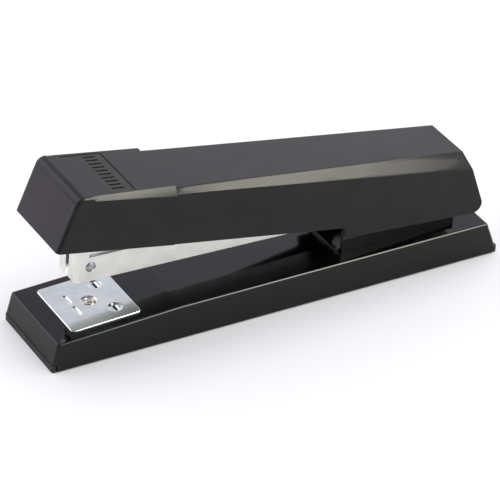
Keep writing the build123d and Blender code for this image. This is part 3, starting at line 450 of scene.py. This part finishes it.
def make_anvil():
    """The anvil plate with rolled rims and curved forming grooves, and its semi-tubular rivet."""
    joint = joints["anvil_turn"]
    centre = Vector(joint["pos_m"])
    up = Vector(joint["axis"]).normalized()
    forward = ACROSS.cross(up)
    points, polygons = with_skirt(*plate_surface(centre, forward, up), centre, up)
    plate = new_piece("anvil_plate_pressed", points, polygons, "anvil", "anvil_steel", sharp_angle=50)
    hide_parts("anvil_plate")

    foot = (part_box("anvil_stem")[0].z - centre.z) / MM + RIVET_FOOT_GAP
    shoulder = foot + RIVET_NECK_LENGTH
    shank = [
        (RIVET_SHANK, RIVET_UNDER_HEAD), (RIVET_SHANK, shoulder), (RIVET_NECK, shoulder),
        (RIVET_NECK, foot), (0.0, foot),
    ]
    profile = RIVET_HEAD + shank
    points, polygons = turned(profile[::-1], centre, up, forward, RIVET_SEGMENTS)
    rivet = new_piece("anvil_rivet", points, polygons, "anvil", "stem_brass", sharp_angle=60)
    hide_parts("anvil_stem")


def make_studs():
    """Domed stud heads on both walls of the nose, each with a turned-down rim."""
    low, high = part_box("nose_studs")
    middle = (low + high) / 2
    for name, edge, outward in (("nose_stud_near", low.y, -1), ("nose_stud_far", high.y, 1)):
        centre = Vector((middle.x, edge, middle.z))
        points, polygons = turned(STUD_PROFILE[::-1], centre, ACROSS * outward, ALONG, STUD_SEGMENTS)
        stud = new_piece(name, points, polygons, "magazine", "screw_steel", sharp_angle=50)
        if outward < 0:
            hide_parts("nose_studs")


# ---- coils and softened edges
def make_coil(node_name, body):
    """A copy of a CAD coil that rides on the body, in place of the hidden CAD node."""
    node = nodes[node_name]
    coil = bpy.data.objects.new(node_name + "_coil", node.data.copy())
    bpy.context.scene.collection.objects.link(coil)
    coil.matrix_world = node.matrix_world
    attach(coil, body)
    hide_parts(node_name)
    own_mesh(coil)


WELD_GAP = 0.00001
SHARP_EDGE_ANGLE = 32
# each softened node's radius in mm, and the segments across it
SOFT_EDGES = {
    "front_cap": (0.35, 3),
    "cover_shell": (0.2, 2),
    "base_shell": (0.3, 3),
    "hinge_bracket": (0.25, 2),
    "staple_retainer": (0.15, 2),
    "cover_liner": (0.15, 2),
}


def soften(node_name, width_mm, segments):
    """Breaks the sharp edges of a CAD node with a small even radius."""
    node = nodes[node_name]
    weld = node.modifiers.new("weld", "WELD")
    weld.merge_threshold = WELD_GAP
    bevel = node.modifiers.new("bevel", "BEVEL")
    bevel.width = width_mm * MM
    bevel.segments = segments
    bevel.limit_method = "ANGLE"
    bevel.angle_limit = math.radians(SHARP_EDGE_ANGLE)
    bevel.use_clamp_overlap = True
    bevel.harden_normals = True
    bevel.miter_outer = "MITER_ARC"


# ---- room: pale floor, soft surround and panels
SURROUND_STRENGTH = 1.3
WALL_COLOUR = (0.97, 0.98, 1.02)
CEILING_COLOUR = (0.68, 0.67, 0.76)
DARK_SIDE_COLOUR = (0.05, 0.05, 0.05)
DARK_SIDE = (-0.545, -0.839, -0.1)
FLOOR_REACH = 12.0
# the card's two upright edges, as (x, y), and the heights of its lower and upper edges
CARD_LEFT = (-0.245, -0.045)
CARD_RIGHT = (-0.185, -0.135)
CARD_LOW = 0.001
CARD_HIGH = 0.05


def area_light(name, place, aim, size, strength, colour, shine=True, fill=True):
    """A square panel aimed at a point. Strength is its radiance. It may show in shine alone or fill alone."""
    data = bpy.data.lights.new(name, "AREA")
    data.shape = "SQUARE"
    data.size = size
    data.energy = strength * math.pi * size * size
    data.color = colour
    light = bpy.data.objects.new(name, data)
    bpy.context.scene.collection.objects.link(light)
    light.location = place
    light.rotation_mode = "QUATERNION"
    light.rotation_quaternion = (Vector(aim) - Vector(place)).to_track_quat("-Z", "Y")
    light.visible_diffuse = fill
    light.visible_glossy = shine
    light.visible_camera = False


def make_board(name, corners, material_name, roughness, speck_scale, first, second):
    """A flat matt board with four corners, in two close tones."""
    mesh = bpy.data.meshes.new(name)
    mesh.from_pydata(corners, [], [(0, 1, 2, 3)])
    board = bpy.data.objects.new(name, mesh)
    bpy.context.scene.collection.objects.link(board)
    material, tree, shader, place = new_material(material_name)
    shader.inputs["Roughness"].default_value = roughness
    shader.inputs["Specular IOR Level"].default_value = 0.0
    speck = remap(tree, noise(tree, place, speck_scale, detail=2), low=0, high=1)
    tree.links.new(two_tone(tree, speck, first, second), shader.inputs["Base Color"])
    mesh.materials.append(material)
    return board


def make_dark_card():
    """A black card ahead of the nose that shows only in shine, where it darkens the cap's rounded corner."""
    corners = [
        (*CARD_LEFT, CARD_LOW), (*CARD_RIGHT, CARD_LOW), (*CARD_RIGHT, CARD_HIGH), (*CARD_LEFT, CARD_HIGH),
    ]
    card = make_board(
        "dark_card", corners, "card_black", roughness=1.0, speck_scale=50,
        first=(0.002, 0.002, 0.002), second=(0.003, 0.003, 0.003),
    )
    card.visible_camera = False
    card.visible_diffuse = False
    card.visible_shadow = False


def make_floor():
    """A wide pale floor under the lowest point of the object."""
    signs = ((-1, -1), (1, -1), (1, 1), (-1, 1))
    corners = [(x * FLOOR_REACH, y * FLOOR_REACH, 0) for x, y in signs]
    floor = make_board(
        "floor", corners, "floor_white", roughness=0.9, speck_scale=3,
        first=(0.87, 0.87, 0.85), second=(0.88, 0.88, 0.86),
    )
    floor.location.z = floor_level


def make_surround():
    """A bright surround: the ceiling is dimmer and cooler than the walls, and one side is darker."""
    world = bpy.data.worlds.new("surround")
    world.use_nodes = True
    tree = world.node_tree
    background = tree.nodes["Background"]
    background.inputs["Strength"].default_value = SURROUND_STRENGTH
    direction = tree.nodes.new("ShaderNodeTexCoord").outputs["Generated"]
    height = tree.nodes.new("ShaderNodeSeparateXYZ")
    tree.links.new(direction, height.inputs["Vector"])
    ceiling = remap(tree, height.outputs["Z"], low=0, high=1, from_low=0.36, from_high=0.62)
    surround = two_tone(tree, ceiling, WALL_COLOUR, CEILING_COLOUR)
    toward = tree.nodes.new("ShaderNodeVectorMath")
    toward.operation = "DOT_PRODUCT"
    toward.inputs[1].default_value = DARK_SIDE
    tree.links.new(direction, toward.inputs[0])
    darkness = remap(tree, toward.outputs["Value"], low=0, high=1, from_low=0.55, from_high=0.9)
    shade = colour_mix(tree, darkness, DARK_SIDE_COLOUR)
    tree.links.new(surround, shade.inputs[MIX_FIRST])
    tree.links.new(shade.outputs[MIX_RESULT], background.inputs["Color"])
    bpy.context.scene.world = world


def make_room():
    """The surround, the floor, four panels that show in shine, one fill light and the dark card."""
    make_surround()
    make_floor()
    area_light(
        "panel_shoulder", place=(0.40, -0.20, 0.55), aim=(0, 0, 0.05), size=0.44, strength=12.5,
        colour=(1.0, 0.955, 0.82), fill=False,
    )
    area_light(
        "panel_edges", place=(0.34, -0.50, 0.58), aim=(-0.03, 0, 0.03), size=0.30, strength=12.0,
        colour=(1.0, 0.97, 0.90), fill=False,
    )
    area_light(
        "panel_fold", place=(-0.60, 0.80, 0.70), aim=(-0.1, 0, 0.05), size=0.75, strength=1.9,
        colour=(0.92, 0.9, 1.0), fill=False,
    )
    area_light(
        "card_front", place=(-0.21, 0.15, 0.035), aim=(-0.1, 0, 0.06), size=0.12, strength=0.75,
        colour=(0.85, 0.68, 1.0), fill=False,
    )
    area_light(
        "panel_fill", place=(0, 0, 2.2), aim=(0, 0, 0), size=2.2, strength=1.5,
        colour=(1.0, 0.99, 0.93), shine=False,
    )
    make_dark_card()


bpy.context.scene.view_settings.view_transform = "Standard"
make_camera()
make_room()
paint_cad_nodes()
make_anvil()
make_studs()
make_coil("anvil_spring", "base")
make_coil("follower_spring", "magazine")
for node_name, (width_mm, segments) in SOFT_EDGES.items():
    soften(node_name, width_mm, segments)
